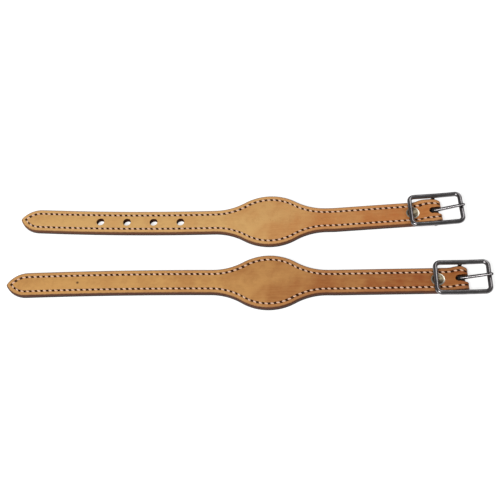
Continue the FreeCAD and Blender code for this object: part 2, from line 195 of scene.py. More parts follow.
chain = edge_chain(STRAPS["left"], STRAPS["left"]["bar"])
print("seam to the pad %.1f, whole seam %.1f" % (
    seam_at_x(chain, -PAD_HALF_LENGTH), sum(length for length, _ in chain)))

# %% [markdown]
# ## Where the columns of the mesh go
# Every stitch needs two columns: one either side of its awl hole. Round strap holes need
# a few more, spaced like the hours on a clock face, so that the hole comes out round. The
# leather that goes round the buckle's bar needs close columns, because it bends sharply,
# and the slot that the buckle's tongue passes through has round ends like a hole. All
# columns are kept in one sorted list of positions along the seam.

# %% Fold sizes and columns, in millimetres
BAR_HEIGHT = 3.05
FOLD_INNER = 1.45
FOLD_OUTER = 3.05
FOLD_SLACK = 1.8
RAMP = 7.0
TURN_BACK = 23.0
SLOT_HALF_WIDTH = 2.1
SLOT_BEHIND = 3.35
FOLD_ARC = math.pi * (FOLD_INNER + FOLD_OUTER) / 2
LAST_HOLE_PAST_BAR = 2.7
SPARE = 12.0
SLOT_RIM = 0.5
COLUMN_GAP = 0.12
FOLD_STEP, BACK_STEP, FOLD_REACH = 0.7, 2.0, 12.0


def wrap_length(bar):
    """Flat length of the top leather from the pad's middle to its end under the fold."""
    return bar + FOLD_SLACK + FOLD_ARC + FOLD_SLACK + TURN_BACK


def clock(centre, radius, count=8):
    """Columns across a round hole."""
    return [centre - radius * math.cos(math.pi * k / count) for k in range(count + 1)]


def slot_range(bar):
    """Flat positions where the tongue's slot starts and stops."""
    return bar - SLOT_BEHIND, bar + 2 * FOLD_SLACK + FOLD_ARC + SLOT_BEHIND


def hole_places(strap):
    """Flat x of the middle of each round hole."""
    return [-strap["tail_length"] + FIRST_HOLE + k * HOLE_SPACING
            for k in range(strap["hole_count"])]


def stitch_pitch(strap, chain):
    """Pitch that makes the last hole of the seam fall just short of the end of the fold."""
    sewn = seam_at_x(chain, strap["bar"] + LAST_HOLE_PAST_BAR)
    return sewn / round(sewn / STITCH)


def seam_columns(strap, chain, sewn_to, end):
    """Sorted seam positions of the columns, and the spans that are awl holes."""
    total = seam_at_x(chain, sewn_to)
    pitch = stitch_pitch(strap, chain)
    awls = []
    for k in range(int(total / pitch) + 1):
        if k * pitch + AWL_LENGTH / 2 < total:
            awls.append((max(0.0, k * pitch - AWL_LENGTH / 2), k * pitch + AWL_LENGTH / 2))
    columns = [edge for awl in awls for edge in awl]
    for place in hole_places(strap):
        columns += [seam_at_x(chain, x) for x in clock(place, HOLE_RADIUS)]
    start, stop = slot_range(strap["bar"])
    if end > stop:
        columns += [seam_at_x(chain, x) for x in clock(start + SLOT_HALF_WIDTH, SLOT_HALF_WIDTH)
                    + clock(stop - SLOT_HALF_WIDTH, SLOT_HALF_WIDTH)]
    x = sewn_to + 1.0
    while x < end:
        if not stop < x < stop + SLOT_RIM:
            columns.append(seam_at_x(chain, x))
        x += FOLD_STEP if x < strap["bar"] + FOLD_REACH else BACK_STEP
    columns.append(seam_at_x(chain, end))
    keep = []
    fixed = {round(edge, 4) for awl in awls for edge in awl}
    for column in sorted(columns):
        if not keep or column - keep[-1] > COLUMN_GAP:
            keep.append(column)
        elif round(column, 4) in fixed:
            keep[-1] = column
    return keep, awls


# %% [markdown]
# ## Cutting the flat shape
# The flat shape starts as a grid two faces wide, and its points are moved onto the
# pattern. Inset does the rest, because it keeps the same distance from the edge all the
# way round, as a saddler's edge marker does: it draws the rim, the two sides of the seam
# and the inside of the sewing groove. Lowering what lies inside each line by a little
# presses the groove in.

# %% Flat pattern
SEAM_OUT, SEAM_IN = SEAM - AWL_WIDTH / 2, SEAM + AWL_WIDTH / 2
FLAT_IN = 4.7
RIM_WIDTH = 0.95
GROOVE_DEPTH = 0.12
GROOVE = [(RIM_WIDTH, 0.0), (SEAM_OUT - RIM_WIDTH, -GROOVE_DEPTH), (AWL_WIDTH, 0.0),
          (FLAT_IN - SEAM_IN, GROOVE_DEPTH)]
AWL_RING = 2
# Material slots: plain leather, and dark brown painted as the shade inside holes.
PLAIN_FACE, HOLE_SHADE_FACE = 0, 1
NOSE_TRIM = 0.13
NOSE_RADIUS = 2.0


def gather_tip(bm, inner, tip, depth, next_depth):
    """Merges the points that the next inset would push past the middle of the point."""
    reach = POINT_RADIUS - depth
    limit = reach * (POINT_CENTRE + 0.05) / (POINT_RADIUS - next_depth) - POINT_CENTRE
    near = [v for v in {v for f in inner if f.is_valid for v in f.verts}
            if abs(v.co.y) < limit and v.co.x < tip + 2 + 1.5 * depth]
    if len(near) > 1:
        corner = tip + POINT_LENGTH - math.sqrt(reach ** 2 - POINT_CENTRE ** 2)
        bmesh.ops.pointmerge(bm, verts=near, merge_co=(corner, 0, near[0].co.z))


def round_nose(bm, from_edge, tip):
    """Rounds the very tip of the point, and pricks the hole that both seams share."""
    front = [e for e in bm.edges if e.is_boundary and max(v.co.x for v in e.verts) < tip + 1.3]
    bmesh.ops.subdivide_edges(bm, edges=front, cuts=2)
    half_angle = math.atan2(math.sqrt(POINT_RADIUS ** 2 - POINT_CENTRE ** 2), POINT_CENTRE)
    centre = NOSE_RADIUS / math.sin(half_angle)
    for vert in bm.verts:
        y = abs(vert.co.y)
        if (vert.co.x < tip + 5 and vert[from_edge] < SEAM_OUT
                and y < centre * math.cos(half_angle)):
            back = centre - math.sqrt(NOSE_RADIUS ** 2 - y * y) - y / math.tan(half_angle)
            vert.co.x += max(0.0, back) * (1 - vert[from_edge] / SEAM_OUT)
    meeting = tip + POINT_LENGTH - math.sqrt((POINT_RADIUS - SEAM) ** 2 - POINT_CENTRE ** 2)
    # The hole that both seams share takes the painted hole shade.
    for face in bm.faces:
        depths = [v[from_edge] for v in face.verts]
        middle = face.calc_center_median()
        if (min(depths) > SEAM_OUT - 0.1 and max(depths) < SEAM_IN + 0.1
                and (middle - Vector((meeting, 0, PLY))).length < 1.6):
            face.material_index = HOLE_SHADE_FACE


def flat_pattern(strap, sewn_to, end):
    """Flat bmesh of one layer, in millimetres, with its grain side up at Z = PLY."""
    chain = edge_chain(strap, end + SPARE)
    columns, awls = seam_columns(strap, chain, sewn_to, end + SPARE)
    tip = -strap["tail_length"]
    bm = bmesh.new()
    bmesh.ops.create_grid(bm, x_segments=len(columns), y_segments=2, size=1.0)
    from_edge = bm.verts.layers.float.new("from_edge")
    order = sorted(bm.verts, key=lambda v: (round(v.co.x, 6), v.co.y))
    edges = [Vector((tip + NOSE_TRIM, 0))] + [edge_at(chain, column)[0] for column in columns]
    for i, edge in enumerate(edges):
        for row, vert in enumerate(order[3 * i:3 * i + 3]):
            vert.co = Vector((edge.x, edge.y * (row - 1), PLY))
    pricked = {round(edges[0].x, 4): True}
    for edge, start, stop in zip(edges[1:], columns, columns[1:]):
        pricked[round(edge.x, 4)] = any(a[0] - 1e-6 < (start + stop) / 2 < a[1] + 1e-6
                                        for a in awls)
    # Faces inside an awl span take the painted hole shade.
    for face in bm.faces:
        face.material_index = int(pricked[round(min(v.co.x for v in face.verts), 4)])
    bmesh.ops.remove_doubles(bm, verts=bm.verts, dist=1e-4)
    inner = list(bm.faces)
    depth = 0.0
    for ring, (width, drop) in enumerate(GROOVE):
        gather_tip(bm, inner, tip, depth, depth + width)
        inner = [f for f in inner if f.is_valid]
        made = bmesh.ops.inset_region(bm, faces=inner, use_boundary=True,
                                      use_even_offset=True, thickness=width)
        depth += width
        for vert in {v for f in inner for v in f.verts}:
            vert[from_edge] = depth
            vert.co.z += drop
        if ring != AWL_RING:
            for face in made["faces"]:
                face.material_index = PLAIN_FACE
    for face in inner:
        face.material_index = PLAIN_FACE
    round_nose(bm, from_edge, tip)
    bmesh.ops.bisect_plane(bm, geom=bm.verts[:] + bm.edges[:] + bm.faces[:],
                           plane_co=(end, 0, 0), plane_no=(1, 0, 0), clear_outer=True)
    print("flat pattern: %d columns, %d awl holes a side, %d faces" % (
        len(columns), len(awls), len(bm.faces)))
    return bm


def open_centre(bm, start, stop, half_width):
    """Opens a slit along the middle row and spreads it to a hole of the given shape."""
    slit = [e for e in bm.edges if all(abs(v.co.y) < 1e-5 and start - 1e-4 <= v.co.x <= stop + 1e-4
                                       for v in e.verts)]
    bmesh.ops.split_edges(bm, edges=slit)
    for vert in bm.verts:
        if abs(vert.co.y) < 1e-5 and start + 1e-3 < vert.co.x < stop - 1e-3:
            above = sum(f.calc_center_median().y for f in vert.link_faces) > 0
            vert.co.y = half_width(vert.co.x) * (1 if above else -1)


# %% [markdown]
# ## From flat shape to leather
# Extruding the flat shape gives it thickness and also makes the walls of the strap holes.
# The rim on the grain side is bevelled round, as an edge tool and a burnisher leave it,
# and the rim on the glue side only a little, so that a fine line shows between the two
# layers. Each awl hole is a small patch that is inset and pushed in; it, the walls of the
# strap holes and the slot are painted dark brown as the shade inside a hole. The two
# halves are cut apart at the widest part of the pad, because one mesh can bend at only
# one hinge.

# %% One layer of one half
RIM_ROUND = 0.75
GLUE_ROUND = 0.14
HOLE_ROUND = 0.3
HOLE_REACH = 3.2
CUT_MARGIN = 1.0
AWL_SLANT = 0.45
AWL_DEPTH = 0.55


def half_of(pattern, towards_buckle):
    """Copy of the flat pattern on one side of the pad's middle."""
    bm = pattern.copy()
    bmesh.ops.bisect_plane(bm, geom=bm.verts[:] + bm.edges[:] + bm.faces[:],
                           plane_co=(0, 0, 0), plane_no=(1, 0, 0),
                           clear_inner=towards_buckle, clear_outer=not towards_buckle)
    return bm


def face_outwards(bm):
    """Turns every face of a closed mesh outwards."""
    bmesh.ops.recalc_face_normals(bm, faces=bm.faces[:])
    if bm.calc_volume(signed=True) < 0:
        bmesh.ops.reverse_faces(bm, faces=bm.faces[:])
    bm.normal_update()


def round_rim(bm, height, offset, segments, wall_test):
    """Bevels the edges where a flat face at this height meets an upright wall."""
    rim = []
    for edge in bm.edges:
        if len(edge.link_faces) != 2 or any(abs(v.co.z - height) > 0.2 for v in edge.verts):
            continue
        up = sorted(abs(f.normal.z) for f in edge.link_faces)
        if up[0] < 0.3 and up[1] > 0.7 and wall_test(edge):
            rim.append(edge)
    bmesh.ops.bevel(bm, geom=rim, offset=offset, segments=segments, profile=0.5,
                    affect="EDGES", material=-1, clamp_overlap=True)


def thicken(bm, end):
    """Turns the flat half into a solid layer with rounded rims and pricked awl holes."""
    from_edge = bm.verts.layers.float["from_edge"]
    made = bmesh.ops.extrude_face_region(bm, geom=bm.faces[:])
    lower = [g for g in made["geom"] if isinstance(g, bmesh.types.BMVert)]
    for vert in lower:
        vert.co.z = 0.0
    face_outwards(bm)

    def outside(edge):
        return all(v[from_edge] < 0.01 for v in edge.verts)

    def hole(edge):
        return all(v[from_edge] > 3.0 for v in edge.verts) and any(
            abs(v.co.x) > CUT_MARGIN for v in edge.verts) and all(
            abs(f.normal.x) < 0.999 or f.normal.z > 0.5 or abs(f.calc_center_median().y) < 3
            for f in edge.link_faces)

    round_rim(bm, PLY, RIM_ROUND, 3, outside)
    round_rim(bm, 0.0, GLUE_ROUND, 1, outside)
    round_rim(bm, PLY, HOLE_ROUND, 2, hole)
    for vert in bm.verts:
        if vert[from_edge] < 0.01 and vert.co.z > PLY - 0.01:
            vert[from_edge] = RIM_ROUND
    pricked = [f for f in bm.faces if f.material_index == HOLE_SHADE_FACE and f.normal.z > 0.7]
    # Walls of the strap holes and the slot take the painted hole shade.
    for face in bm.faces:
        middle = face.calc_center_median()
        wall = (abs(face.normal.z) < 0.5 and abs(middle.y) < HOLE_REACH
                and abs(middle.x) > CUT_MARGIN and middle.x < end - 0.1)
        face.material_index = int(wall and all(v[from_edge] > FLAT_IN - 0.1 for v in face.verts))
    seam_verts = {v for f in pricked for v in f.verts}
    for vert in seam_verts:
        if abs(abs(vert[from_edge] - SEAM) - AWL_WIDTH / 2) < 0.1:
            outward = 1 if vert[from_edge] < SEAM else -1
            vert.co.x -= outward * AWL_SLANT / 2 * math.copysign(1, vert.co.y)
    made = bmesh.ops.inset_region(bm, faces=pricked, thickness=0.1, depth=-AWL_DEPTH,
                                  use_even_offset=False)
    for face in pricked + made["faces"]:
        face.material_index = HOLE_SHADE_FACE
    return len(pricked)


# %% [markdown]
# ## Bending and laying the leather
# The flat layers are now put in their real places. The top leather rises over a short
# ramp, goes round the buckle's bar and comes back underneath, like a belt end. The tail
# takes its slight sideways bow and each part its turn. Doing this as one rule for all
# points keeps stitches, holes and leather together, and the flat position is kept as an
# attribute so that the grain follows the leather round the fold.

# %% Side view of the fold
WAIST_DEPTH, WAIST_REACH = 1.2, 5.0
SLOT_FLARE, SLOT_FLARE_REACH = 0.9, 6.0
TURN_REACH = 7


def ramp_height(share, low, high):
    """Smooth S from low to high made of two tangent arcs."""
    half_turn = 2 * math.atan((high - low) / RAMP)
    radius = RAMP / 2 / math.sin(half_turn)
    x = share * RAMP
    if share < 0.5:
        return low + radius - math.sqrt(radius ** 2 - x ** 2)
    return high - radius + math.sqrt(radius ** 2 - (RAMP - x) ** 2)


def side_view(bar, level, s):
    """Glue side and grain side of the top leather as (x, height), at flat position s."""
    fold = bar + FOLD_SLACK
    high = bar - level
    tops = (BAR_HEIGHT + FOLD_INNER, BAR_HEIGHT + FOLD_OUTER)
    if s <= high - RAMP:
        return (s, PLY), (s, 2 * PLY)
    if s <= high:
        share = (s - high + RAMP) / RAMP
        return (s, ramp_height(share, PLY, tops[0])), (s, ramp_height(share, 2 * PLY, tops[1]))
    if s <= fold:
        return (s, tops[0]), (s, tops[1])
    if s <= fold + FOLD_ARC:
        angle = math.pi * (s - fold) / FOLD_ARC
        return tuple((fold + r * math.sin(angle), BAR_HEIGHT + r * math.cos(angle))
                     for r in (FOLD_INNER, FOLD_OUTER))
    x = fold - (s - fold - FOLD_ARC)
    share = min(1.0, max(0.0, (bar - x) / RAMP))
    return (x, FOLD_PLY + (PLY - FOLD_PLY) * share), (x, 0.0)


def smooth(value, low, high):
    """Zero below low, one above high, and a smooth step between."""
    t = min(1.0, max(0.0, (value - low) / (high - low)))
    return t * t * (3 - 2 * t)


def fold_waist(bar, s):
    """How much the edges draw in where the leather goes round the bar."""
    far = abs(s - (bar + FOLD_SLACK + FOLD_ARC / 2))
    return WAIST_DEPTH * (1 - smooth(far, 0.0, WAIST_REACH))


def slot_flare(bar, s):
    """How much the sides of the slot spread where the leather goes round the bar."""
    far = abs(s - (bar + FOLD_SLACK + FOLD_ARC / 2))
    return SLOT_FLARE * (1 - smooth(far, 0.0, SLOT_FLARE_REACH))


# %% From the flat layer to its place
def spread_at_fold(strap, x, y):
    """Moves a point of the top leather sideways where it widens and narrows at the fold."""
    before = strap["bar"] - x
    wide = strap["spread"] * smooth(before, -1.0, 2.0) * (1 - smooth(before, 9.0, 13.5))
    y += math.copysign(wide * smooth(abs(y), 3.0, HALF_WIDTH), y)
    if abs(y) > 1.0:
        y -= math.copysign(fold_waist(strap["bar"], x), y) * smooth(abs(y), 1.0, 5.5)
        flare = math.copysign(slot_flare(strap["bar"], x), y)
        y += flare * (1 - smooth(abs(y), 2.0, 5.0))
    return y


def in_plan(strap, x, y):
    """Bows the tail, turns the buckle end and then turns the whole strap."""
    bend = strap["bend"]
    if x < -bend:
        radius = -strap["tail_bow_radius"]
        angle = (-x - bend) / radius
        x = -bend - (radius * math.sin(angle) + y * math.sin(angle))
        y = -(radius * (1 - math.cos(angle)) - y * math.cos(angle))
    turn = strap["buckle_turn"] * smooth(x, bend - TURN_REACH, bend + TURN_REACH)
    lever = max(0.0, x - bend)
    straight = Vector((x - lever, y))
    lean = Vector((lever * math.cos(turn) - y * math.sin(turn),
                   lever * math.sin(turn) + y * (math.cos(turn) - 1)))
    spot = straight + lean
    spot.rotate(Matrix.Rotation(strap["pad_turn"], 2))
    return spot


def place(strap, layer, flat):
    """Place in the frame, in metres, of a flat point of the top or the bottom leather."""
    x, y, depth = flat
    z = PLY - depth
    if layer == "top":
        level = strap["level"] + strap["edge_level"] * smooth(abs(y), 4.0, 7.0)
        glue, grain = side_view(strap["bar"], level, x)
        y = spread_at_fold(strap, x, y)
        share = depth / PLY
        x = glue[0] + (grain[0] - glue[0]) * share
        z = glue[1] + (grain[1] - glue[1]) * share
    spot = in_plan(strap, x, y)
    middle = strap["middle"]
    return Vector((middle.x + spot.x * MM, middle.y + spot.y * MM, z * MM))


print("fold end at x %.2f mm from the pad's middle" % place(
    STRAPS["left"], "top", (STRAPS["left"]["bar"] + FOLD_SLACK + FOLD_ARC / 2, 0, PLY)).length)

# %% [markdown]
# ## The leather pieces
# Eight pieces make the pair: for each strap a tail half and a buckle half, each in a top
# and a bottom layer. Each piece stands for the plain solids of the frame and bends
# smoothly across the hinge at the neck of the pad. The flat position that the lining
# keeps is shifted far up, so that its grain isn't a copy of the top leather's.

# %% Build the leather
BLEND_REACH = 12.0
LINING_SHIFT = 40.0
HALVES = {"tail_half": ("_tail", False), "buckle_half": ("_buckle_end", True)}


def finish_mesh(bm, name, sharp=38):
    """Makes a smooth-shaded piece, creased where faces meet at more than this angle."""
    mesh = bpy.data.meshes.new(name)
    bm.to_mesh(mesh)
    bm.free()
    piece = bpy.data.objects.new(name, mesh)
    bpy.context.scene.collection.objects.link(piece)
    mesh.polygons.foreach_set("use_smooth", [True] * len(mesh.polygons))
    mesh.set_sharp_from_angle(angle=math.radians(sharp))
    return piece


def bend_at_neck(piece, side, half):
    """Lets a piece follow the pad on one side of the neck and its end on the other."""
    body, towards_buckle = HALVES[half]
    strap = STRAPS[side]
    hinge = strap["end_hinge"] if towards_buckle else strap["tail_hinge"]
    reach = Vector((math.cos(strap["pad_turn"]), math.sin(strap["pad_turn"]), 0))
    reach *= BLEND_REACH * MM * (1 if towards_buckle else -1)
    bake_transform(piece, side + "_pad", side + body, start=hinge - reach, end=hinge + reach)


def lay(bm, side, layer):
    """Stores the flat position of each point and moves the point to its place."""
    cut = bm.verts.layers.float_vector.new("cut")
    shift = Vector((0, 0, 0 if layer == "top" else LINING_SHIFT))
    for vert in bm.verts:
        vert[cut] = vert.co + shift
        vert.co = place(STRAPS[side], layer, vert.co)
    face_outwards(bm)


leather = {}
for side, strap in STRAPS.items():
    ends = {"top": wrap_length(strap["bar"]), "bottom": strap["bar"] - TURN_BACK}
    for layer, end in ends.items():
        sewn_to = min(end - 1.5, strap["bar"] + LAST_HOLE_PAST_BAR + AWL_LENGTH / 2 + 0.1)
        pattern = flat_pattern(strap, sewn_to, end)
        for x in hole_places(strap):
            open_centre(pattern, x - HOLE_RADIUS, x + HOLE_RADIUS,
                        lambda at, x=x: math.sqrt(max(0.0, HOLE_RADIUS ** 2 - (at - x) ** 2)))
        if layer == "top":
            start, stop = slot_range(strap["bar"])

            def slot(at):
                to_end = min(at - start, stop - at)
                gap = SLOT_HALF_WIDTH - min(to_end, SLOT_HALF_WIDTH)
                return math.sqrt(SLOT_HALF_WIDTH ** 2 - gap ** 2)
            open_centre(pattern, start, stop, slot)
        for half, (body, towards_buckle) in HALVES.items():
            bm = half_of(pattern, towards_buckle)
            awls = thicken(bm, end)
            lay(bm, side, layer)
            name = "%s_%s_leather_%s" % (side, layer, half)
            piece = finish_mesh(bm, name)
            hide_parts("%s_%s_leather_pad" % (side, layer),
                        "%s_%s_leather%s" % (side, layer, body))
            bend_at_neck(piece, side, half)
            leather[name] = piece
            print(name, "faces", len(piece.data.polygons), "awl faces", awls)
        pattern.free()


# %% [markdown]
# ## Stitches
# Saddle stitching lays the thread in short plump lumps between the awl holes. There are
# several hundred of them, so each is only a squashed sphere of a few dozen faces, laid
# along the seam by a matrix that gives its length, breadth and lean. All the stitches of
# one half and one side of the strap are one piece, which bends at the neck as the leather
# does. On the underside they are sunk deeper, so that the strap lies flat on the table.

# %% Sew the edges
LUMP_LENGTH = 2.6
LUMP_WIDTH = 1.1
LUMP_HEIGHT = 0.6
LUMP_LEAN = math.radians(14)
LUMP_SINK = {"top": GROOVE_DEPTH, "bottom": 0.5}


def seam_point(chain, seam, across):
    """Flat point on the seam line of the upper (+1) or lower (-1) edge."""
    edge, out = edge_at(chain, seam)
    spot = edge - out.normalized() * SEAM
    return Vector((spot.x, spot.y * across))


def lump(bm, strap, layer, chain, seam, across):
    """One stitch in the middle of its span, following the place rule of the leather."""
    step = (STITCH - AWL_LENGTH) / 2
    flat = [seam_point(chain, seam + k * step, across) for k in (-1, 0, 1)]
    depth = PLY - LUMP_SINK[layer]
    before, centre, after = [place(strap, layer, (*spot, depth)) for spot in flat]
    above = place(strap, layer, (*flat[1], depth + 1.0))
    along = (after - before).normalized()
    up = (above - centre).normalized()
    side_way = up.cross(along)
    lean = LUMP_LEAN * (-1 if layer == "top" else 1)
    along, side_way = (along * math.cos(lean) + side_way * math.sin(lean),
                       side_way * math.cos(lean) - along * math.sin(lean))
    turn = Matrix((along, side_way, up)).transposed().to_4x4()
    size = Matrix.Diagonal((LUMP_LENGTH / 2 * MM, LUMP_WIDTH / 2 * MM, LUMP_HEIGHT * MM, 1))
    bmesh.ops.create_uvsphere(bm, u_segments=8, v_segments=6, radius=1.0,
                              matrix=Matrix.Translation(centre) @ turn @ size)
    return flat[1].x


def sewn_seams(strap, chain, layer):
    """Seam positions of the stitches, with the flat x they belong to."""
    ends = {"top": LAST_HOLE_PAST_BAR + 0.1, "bottom": -TURN_BACK}
    last = seam_at_x(chain, strap["bar"] + ends[layer])
    pitch = stitch_pitch(strap, chain)
    return [(k + 0.5) * pitch for k in range(int(last / pitch))]


thread = {}
for side, strap in STRAPS.items():
    chain = edge_chain(strap, wrap_length(strap["bar"]) + SPARE)
    for layer in ("top", "bottom"):
        for half, (body, towards_buckle) in HALVES.items():
            bm = bmesh.new()
            count = 0
            for seam in sewn_seams(strap, chain, layer):
                for across in (1, -1):
                    if (seam_point(chain, seam, across).x > 0) == towards_buckle:
                        lump(bm, strap, layer, chain, seam, across)
                        count += 1
            name = "%s_%s_thread_%s" % (side, layer, half)
            piece = finish_mesh(bm, name, sharp=80)
            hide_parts("%s_%s_thread_pad" % (side, layer),
                        "%s_%s_thread%s" % (side, layer, body))
            bend_at_neck(piece, side, half)
            thread[name] = piece
            print(name, "stitches", count)

# %% [markdown]
# ## Leather as a material
# Tan leather is one colour only from far away. Close up it has a fine pebbled grain,
# cloudy patches where it took up oil, a paler rim outside the stitching, dark burnished
# edges and handling marks that redden it towards the buckle. The lining's wall at the foot
# of the edge is painted near black as a contact shadow. Grain and clouds are small
# node groups, so that both straps and the lining share them, and the bands along the edge
# come from each point's distance from it, which the mesh carries as an attribute.

# %% Helpers for shader nodes
def new_group(name, inputs, outputs):
    """Empty shader node group with named sockets."""
    group = bpy.data.node_groups.new(name, "ShaderNodeTree")
    for label, kind, value in inputs:
        socket = group.interface.new_socket(label, in_out="INPUT", socket_type=kind)
        socket.default_value = value
    for label, kind in outputs:
        group.interface.new_socket(label, in_out="OUTPUT", socket_type=kind)
    return group, group.nodes.new("NodeGroupInput"), group.nodes.new("NodeGroupOutput")


def add(tree, kind, **settings):
    """New node of a kind, with its settings."""
    node = tree.nodes.new(kind)
    for key, value in settings.items():
        setattr(node, key, value)
    return node


def feed(tree, socket, given):
    """Joins a socket to another socket, or gives it a plain value."""
    if isinstance(given, bpy.types.NodeSocket):
        tree.links.new(given, socket)
    else:
        socket.default_value = given


def mapped(tree, vector, **changes):
    """Stretched or turned copy of a vector."""
    node = add(tree, "ShaderNodeMapping")
    for key, value in changes.items():
        node.inputs[key].default_value = value
    tree.links.new(vector, node.inputs["Vector"])
    return node.outputs["Vector"]


def noise(tree, vector, scale, detail=3.0, roughness=0.5):
    """Cloudy value from 0 to 1."""
    node = add(tree, "ShaderNodeTexNoise")
    node.inputs["Scale"].default_value = scale
    node.inputs["Detail"].default_value = detail
    node.inputs["Roughness"].default_value = roughness
    tree.links.new(vector, node.inputs["Vector"])
    return node.outputs["Fac"]


def remap(tree, value, low, high, to_low=0.0, to_high=1.0):
    """Smooth step of a value from one range to another."""
    node = add(tree, "ShaderNodeMapRange", interpolation_type="SMOOTHSTEP")
    for key, number in (("From Min", low), ("From Max", high),
                        ("To Min", to_low), ("To Max", to_high)):
        node.inputs[key].default_value = number
    tree.links.new(value, node.inputs["Value"])
    return node.outputs["Result"]


def mix_colour(tree, share, first, second):
    """Mixes two colours; each may be a socket or a plain colour."""
    node = add(tree, "ShaderNodeMix", data_type="RGBA")
    for index, given in ((0, share), (6, first), (7, second)):
        feed(tree, node.inputs[index], given)
    return node.outputs[2]


def maths(tree, operation, first, second):
    """One sum; each side may be a socket or a number."""
    node = add(tree, "ShaderNodeMath", operation=operation)
    for socket, given in zip(node.inputs, (first, second)):
        feed(tree, socket, given)
    return node.outputs[0]


def spot_mask(tree, vector, centre, inner, outer):
    """One within a distance of a point, fading to zero at a larger distance."""
    away = add(tree, "ShaderNodeVectorMath", operation="DISTANCE")
    tree.links.new(vector, away.inputs[0])
    away.inputs[1].default_value = centre
    return remap(tree, away.outputs["Value"], inner, outer, 1.0, 0.0)


def spots_mask(tree, vector, centres, inner, outer):
    """The same for the nearest of several points."""
    mask = 0.0
    for centre in centres:
        mask = maths(tree, "MAXIMUM", spot_mask(tree, vector, centre, inner, outer), mask)
    return mask


def new_material(name):
    """New material, its node tree and its shader."""
    material = bpy.data.materials.new(name)
    material.use_nodes = True
    return material, material.node_tree, material.node_tree.nodes["Principled BSDF"]


def add_bump(tree, shader, height, strength, distance):
    """Lets a height show on the surface, with its full depth in millimetres."""
    node = add(tree, "ShaderNodeBump")
    node.inputs["Strength"].default_value = strength
    node.inputs["Distance"].default_value = distance * MM
    tree.links.new(height, node.inputs["Height"])
    tree.links.new(node.outputs["Normal"], shader.inputs["Normal"])


# %% Grain and clouds groups
def grain_group():
    """Height of the pebbled grain and pores, and a mask of the pores."""
    group, given, out = new_group("leather_grain", [
        ("Vector", "NodeSocketVector", (0, 0, 0)), ("Pebble Size", "NodeSocketFloat", 0.9)],
        [("Height", "NodeSocketFloat"), ("Pores", "NodeSocketFloat")])
    scale = maths(group, "DIVIDE", 1.0, given.outputs["Pebble Size"])
    cells = add(group, "ShaderNodeTexVoronoi", feature="SMOOTH_F1")
    group.links.new(given.outputs["Vector"], cells.inputs["Vector"])
    group.links.new(scale, cells.inputs["Scale"])
    cells.inputs["Smoothness"].default_value = 0.6
    fine = noise(group, given.outputs["Vector"], 2.6, 4.0)
    broad = noise(group, given.outputs["Vector"], 0.35, 2.0)
    pores = remap(group, noise(group, given.outputs["Vector"], 3.4, 1.0), 0.68, 0.78)
    height = maths(group, "ADD", maths(group, "MULTIPLY", cells.outputs["Distance"], 0.35),
                   maths(group, "MULTIPLY", fine, 0.5))
    height = maths(group, "ADD", height, maths(group, "MULTIPLY", broad, 0.8))
    height = maths(group, "SUBTRACT", height, maths(group, "MULTIPLY", pores, 0.4))
    group.links.new(height, out.inputs["Height"])
    group.links.new(pores, out.inputs["Pores"])
    return group


def clouds_group():
    """Masks of broad patches that redden, small ones that darken, and pale streaks."""
    group, given, out = new_group("leather_clouds", [
        ("Vector", "NodeSocketVector", (0, 0, 0))],
        [("Broad", "NodeSocketFloat"), ("Small", "NodeSocketFloat"),
         ("Streaks", "NodeSocketFloat")])
    vector = given.outputs["Vector"]
    group.links.new(remap(group, noise(group, vector, 0.045, 3.0, 0.6), 0.38, 0.66),
                    out.inputs["Broad"])
    group.links.new(remap(group, noise(group, vector, 0.24, 4.0, 0.65), 0.4, 0.75),
                    out.inputs["Small"])
    stretched = mapped(group, vector, Scale=(0.08, 0.9, 0.9))
    group.links.new(remap(group, noise(group, stretched, 1.0, 3.0), 0.35, 0.7),
                    out.inputs["Streaks"])
    return group


GRAIN = grain_group()
CLOUDS = clouds_group()
print("groups", GRAIN.name, CLOUDS.name)


# %% Leather material
def srgb(red, green, blue):
    """Linear colour from the familiar 0 to 255 values."""
    return tuple((c / 255 / 12.92 if c / 255 <= 0.04045 else ((c / 255 + 0.055) / 1.055) ** 2.4)
                 for c in (red, green, blue)) + (1.0,)


def shade(colour, factor):
    """The same colour, darker or paler."""
    return tuple(min(1.0, factor * c) for c in colour[:3]) + (1.0,)


